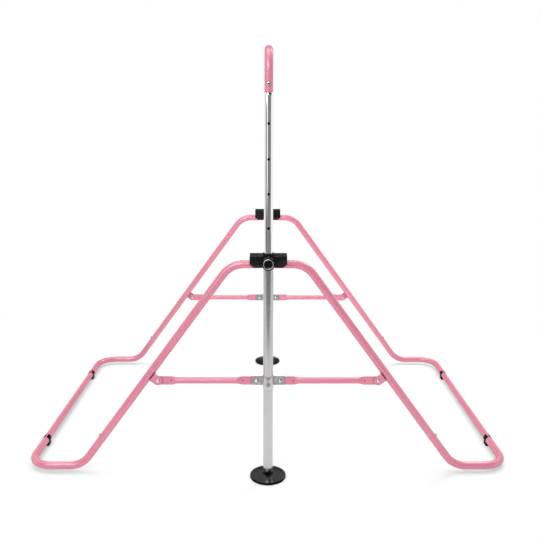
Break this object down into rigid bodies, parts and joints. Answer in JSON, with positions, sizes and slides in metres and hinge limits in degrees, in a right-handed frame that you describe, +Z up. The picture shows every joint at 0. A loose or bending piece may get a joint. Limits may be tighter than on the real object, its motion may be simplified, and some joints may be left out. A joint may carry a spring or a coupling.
{
  "type": "folding kip bar",
  "caption": "Free-standing gymnastics kip bar: a height-adjustable crossbar on telescopic posts, with splayed tube legs that fold in on braces.",
  "frame": {"origin": "on the floor, in the middle of the base", "axes": "+X across the base, towards the right of the picture; +Y along the crossbar, away from the camera; +Z up"},
  "size_m": [1.7816, 1.319, 1.4979],
  "materials": {
    "pink_powder_coat": "smooth glossy powder coat on steel tube",
    "chrome": "bright chrome on steel tube",
    "silver_coat": "satin silver coat on steel tube",
    "zinc": "satin zinc plate",
    "black_steel": "blackened steel",
    "black_plastic": "moulded, slight sheen",
    "black_rubber": "smooth moulded rubber"
  },
  "bodies": {
    "stand": {"front_lower_post": "silver_coat", "front_hub": "black_plastic", "front_guide_bush": "black_plastic", "front_foot": "black_rubber", "front_pin_housing": "black_plastic", "rear_lower_post": "silver_coat", "rear_hub": "black_plastic", "rear_guide_bush": "black_plastic", "rear_foot": "black_rubber", "rear_pin_housing": "black_plastic", "front_left_pivot_bolt": "black_steel", "front_right_pivot_bolt": "black_steel", "rear_left_pivot_bolt": "black_steel", "rear_right_pivot_bolt": "black_steel"},
    "mast": {"crossbar": "pink_powder_coat", "front_upright": "chrome", "front_bar_bolt": "zinc", "rear_upright": "chrome", "rear_bar_bolt": "zinc"},
    "front_pin": {"front_pin_plunger": "zinc", "front_pin_knob": "black_plastic", "front_pin_spring": "zinc"},
    "front_collar_slide": {"front_collar": "zinc", "front_collar_lock": "zinc", "front_left_tab_rivet": "zinc", "front_right_tab_rivet": "zinc"},
    "front_left_brace_link": {"front_left_brace": "pink_powder_coat"},
    "front_right_brace_link": {"front_right_brace": "pink_powder_coat"},
    "rear_pin": {"rear_pin_plunger": "zinc", "rear_pin_knob": "black_plastic", "rear_pin_spring": "zinc"},
    "rear_collar_slide": {"rear_collar": "zinc", "rear_collar_lock": "zinc", "rear_left_tab_rivet": "zinc", "rear_right_tab_rivet": "zinc"},
    "rear_left_brace_link": {"rear_left_brace": "pink_powder_coat"},
    "rear_right_brace_link": {"rear_right_brace": "pink_powder_coat"},
    "left_frame": {"front_left_leg": "pink_powder_coat", "front_left_base_corner": "pink_powder_coat", "front_left_floor_pad": "black_rubber", "front_left_ear_rivet": "zinc", "rear_left_leg": "pink_powder_coat", "rear_left_base_corner": "pink_powder_coat", "rear_left_floor_pad": "black_rubber", "rear_left_ear_rivet": "zinc", "left_base_rail": "pink_powder_coat"},
    "front_left_button": {"front_left_snap_button": "zinc"},
    "rear_left_button": {"rear_left_snap_button": "zinc"},
    "right_frame": {"front_right_leg": "pink_powder_coat", "front_right_base_corner": "pink_powder_coat", "front_right_floor_pad": "black_rubber", "front_right_ear_rivet": "zinc", "rear_right_leg": "pink_powder_coat", "rear_right_base_corner": "pink_powder_coat", "rear_right_floor_pad": "black_rubber", "rear_right_ear_rivet": "zinc", "right_base_rail": "pink_powder_coat"},
    "front_right_button": {"front_right_snap_button": "zinc"},
    "rear_right_button": {"rear_right_snap_button": "zinc"}
  },
  "joints": [
    {"name": "mast_height", "type": "slide", "parent": "stand", "child": "mast", "axis": [0, 0, 1], "range_m": [-0.4528, 0]},
    {"name": "front_pin_push", "type": "slide", "parent": "stand", "child": "front_pin", "axis": [0, 1, 0], "range_m": [0, 0.008], "deforming": ["front_pin_spring"]},
    {"name": "rear_pin_push", "type": "slide", "parent": "stand", "child": "rear_pin", "axis": [0, -1, 0], "range_m": [0, 0.008], "deforming": ["rear_pin_spring"]},
    {"name": "front_collar_rise", "type": "slide", "parent": "stand", "child": "front_collar_slide", "axis": [0, 0, 1], "range_m": [0, 0.22548]},
    {"name": "front_left_brace_fold", "type": "hinge", "parent": "front_collar_slide", "child": "front_left_brace_link", "pos_m": [-0.0416, -0.5711, 0.3595], "axis": [0, -1, 0], "range_deg": [0, 83.94]},
    {"name": "front_right_brace_fold", "type": "hinge", "parent": "front_collar_slide", "child": "front_right_brace_link", "pos_m": [0.0416, -0.5711, 0.3595], "axis": [0, 1, 0], "range_deg": [0, 83.94]},
    {"name": "rear_collar_rise", "type": "slide", "parent": "stand", "child": "rear_collar_slide", "axis": [0, 0, 1], "range_m": [0, 0.22548]},
    {"name": "rear_left_brace_fold", "type": "hinge", "parent": "rear_collar_slide", "child": "rear_left_brace_link", "pos_m": [-0.0416, 0.5711, 0.3595], "axis": [0, -1, 0], "range_deg": [0, 83.94]},
    {"name": "rear_right_brace_fold", "type": "hinge", "parent": "rear_collar_slide", "child": "rear_right_brace_link", "pos_m": [0.0416, 0.5711, 0.3595], "axis": [0, 1, 0], "range_deg": [0, 83.94]},
    {"name": "left_frame_fold", "type": "hinge", "parent": "front_left_brace_link", "child": "left_frame", "pos_m": [-0.39006, -0.5711, 0.3595], "axis": [0, 1, 0], "range_deg": [0, 47.93]},
    {"name": "right_frame_fold", "type": "hinge", "parent": "front_right_brace_link", "child": "right_frame", "pos_m": [0.39006, -0.5711, 0.3595], "axis": [0, -1, 0], "range_deg": [0, 47.94]},
    {"name": "front_left_button_press", "type": "slide", "parent": "left_frame", "child": "front_left_button", "axis": [0.8073, 0, -0.5901], "range_m": [0, 0.0065], "stiffness_N_per_m": 400},
    {"name": "front_right_button_press", "type": "slide", "parent": "right_frame", "child": "front_right_button", "axis": [-0.8073, 0, -0.5901], "range_m": [0, 0.0065], "stiffness_N_per_m": 400},
    {"name": "rear_left_button_press", "type": "slide", "parent": "left_frame", "child": "rear_left_button", "axis": [0.8073, 0, -0.5901], "range_m": [0, 0.0065], "stiffness_N_per_m": 400},
    {"name": "rear_right_button_press", "type": "slide", "parent": "right_frame", "child": "rear_right_button", "axis": [-0.8073, 0, -0.5901], "range_m": [0, 0.0065], "stiffness_N_per_m": 400}
  ],
  "couplings": [
    {"joint": "right_frame_fold", "follows": "left_frame_fold", "ratio": 1},
    {"joint": "front_collar_rise", "follows": "left_frame_fold", "m_per_rad": 0.26953},
    {"joint": "front_left_brace_fold", "follows": "left_frame_fold", "ratio": 1.7511},
    {"joint": "front_right_brace_fold", "follows": "left_frame_fold", "ratio": 1.7511},
    {"joint": "rear_collar_rise", "follows": "left_frame_fold", "m_per_rad": 0.26953},
    {"joint": "rear_left_brace_fold", "follows": "left_frame_fold", "ratio": 1.7511},
    {"joint": "rear_right_brace_fold", "follows": "left_frame_fold", "ratio": 1.7511}
  ]
}
